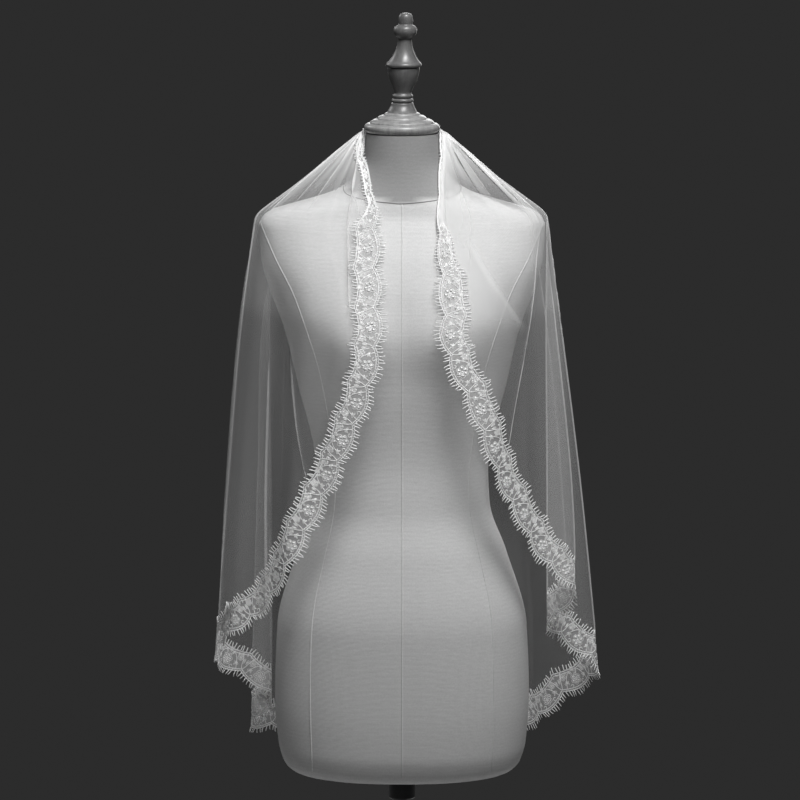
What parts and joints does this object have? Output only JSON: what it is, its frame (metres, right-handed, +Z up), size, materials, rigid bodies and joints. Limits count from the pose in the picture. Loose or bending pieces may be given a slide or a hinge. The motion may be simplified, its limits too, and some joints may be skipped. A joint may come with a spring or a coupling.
{
  "type": "bridal veil on dress form",
  "caption": "Sheer tulle veil with scalloped eyelash-lace edging, hung round the neck cap of a padded dress form on a round-based pole stand.",
  "frame": {"origin": "centre of the base plate's underside, on the floor", "axes": "+Z up along the stand's pole; -Y is the front, where the veil opens; +X to the viewer's right"},
  "size_m": [0.4714, 0.3437, 1.4779],
  "materials": {
    "tulle": "sheer fine-net tulle, slight sheen",
    "lace": "matte corded eyelash lace",
    "linen": "plain-woven linen cover over padding",
    "turned_wood": "satin, turned",
    "black_metal": "satin black powder coat"
  },
  "bodies": {
    "root": {"tulle_left": "tulle", "tulle_back": "tulle", "tulle_right": "tulle", "lace_left": "lace", "lace_hem": "lace", "lace_right": "lace", "fringe_left": "lace", "fringe_hem": "lace", "fringe_right": "lace", "form_body": "linen", "neck_cap": "turned_wood", "finial": "turned_wood", "pole": "black_metal", "base_plate": "black_metal"}
  },
  "joints": []
}
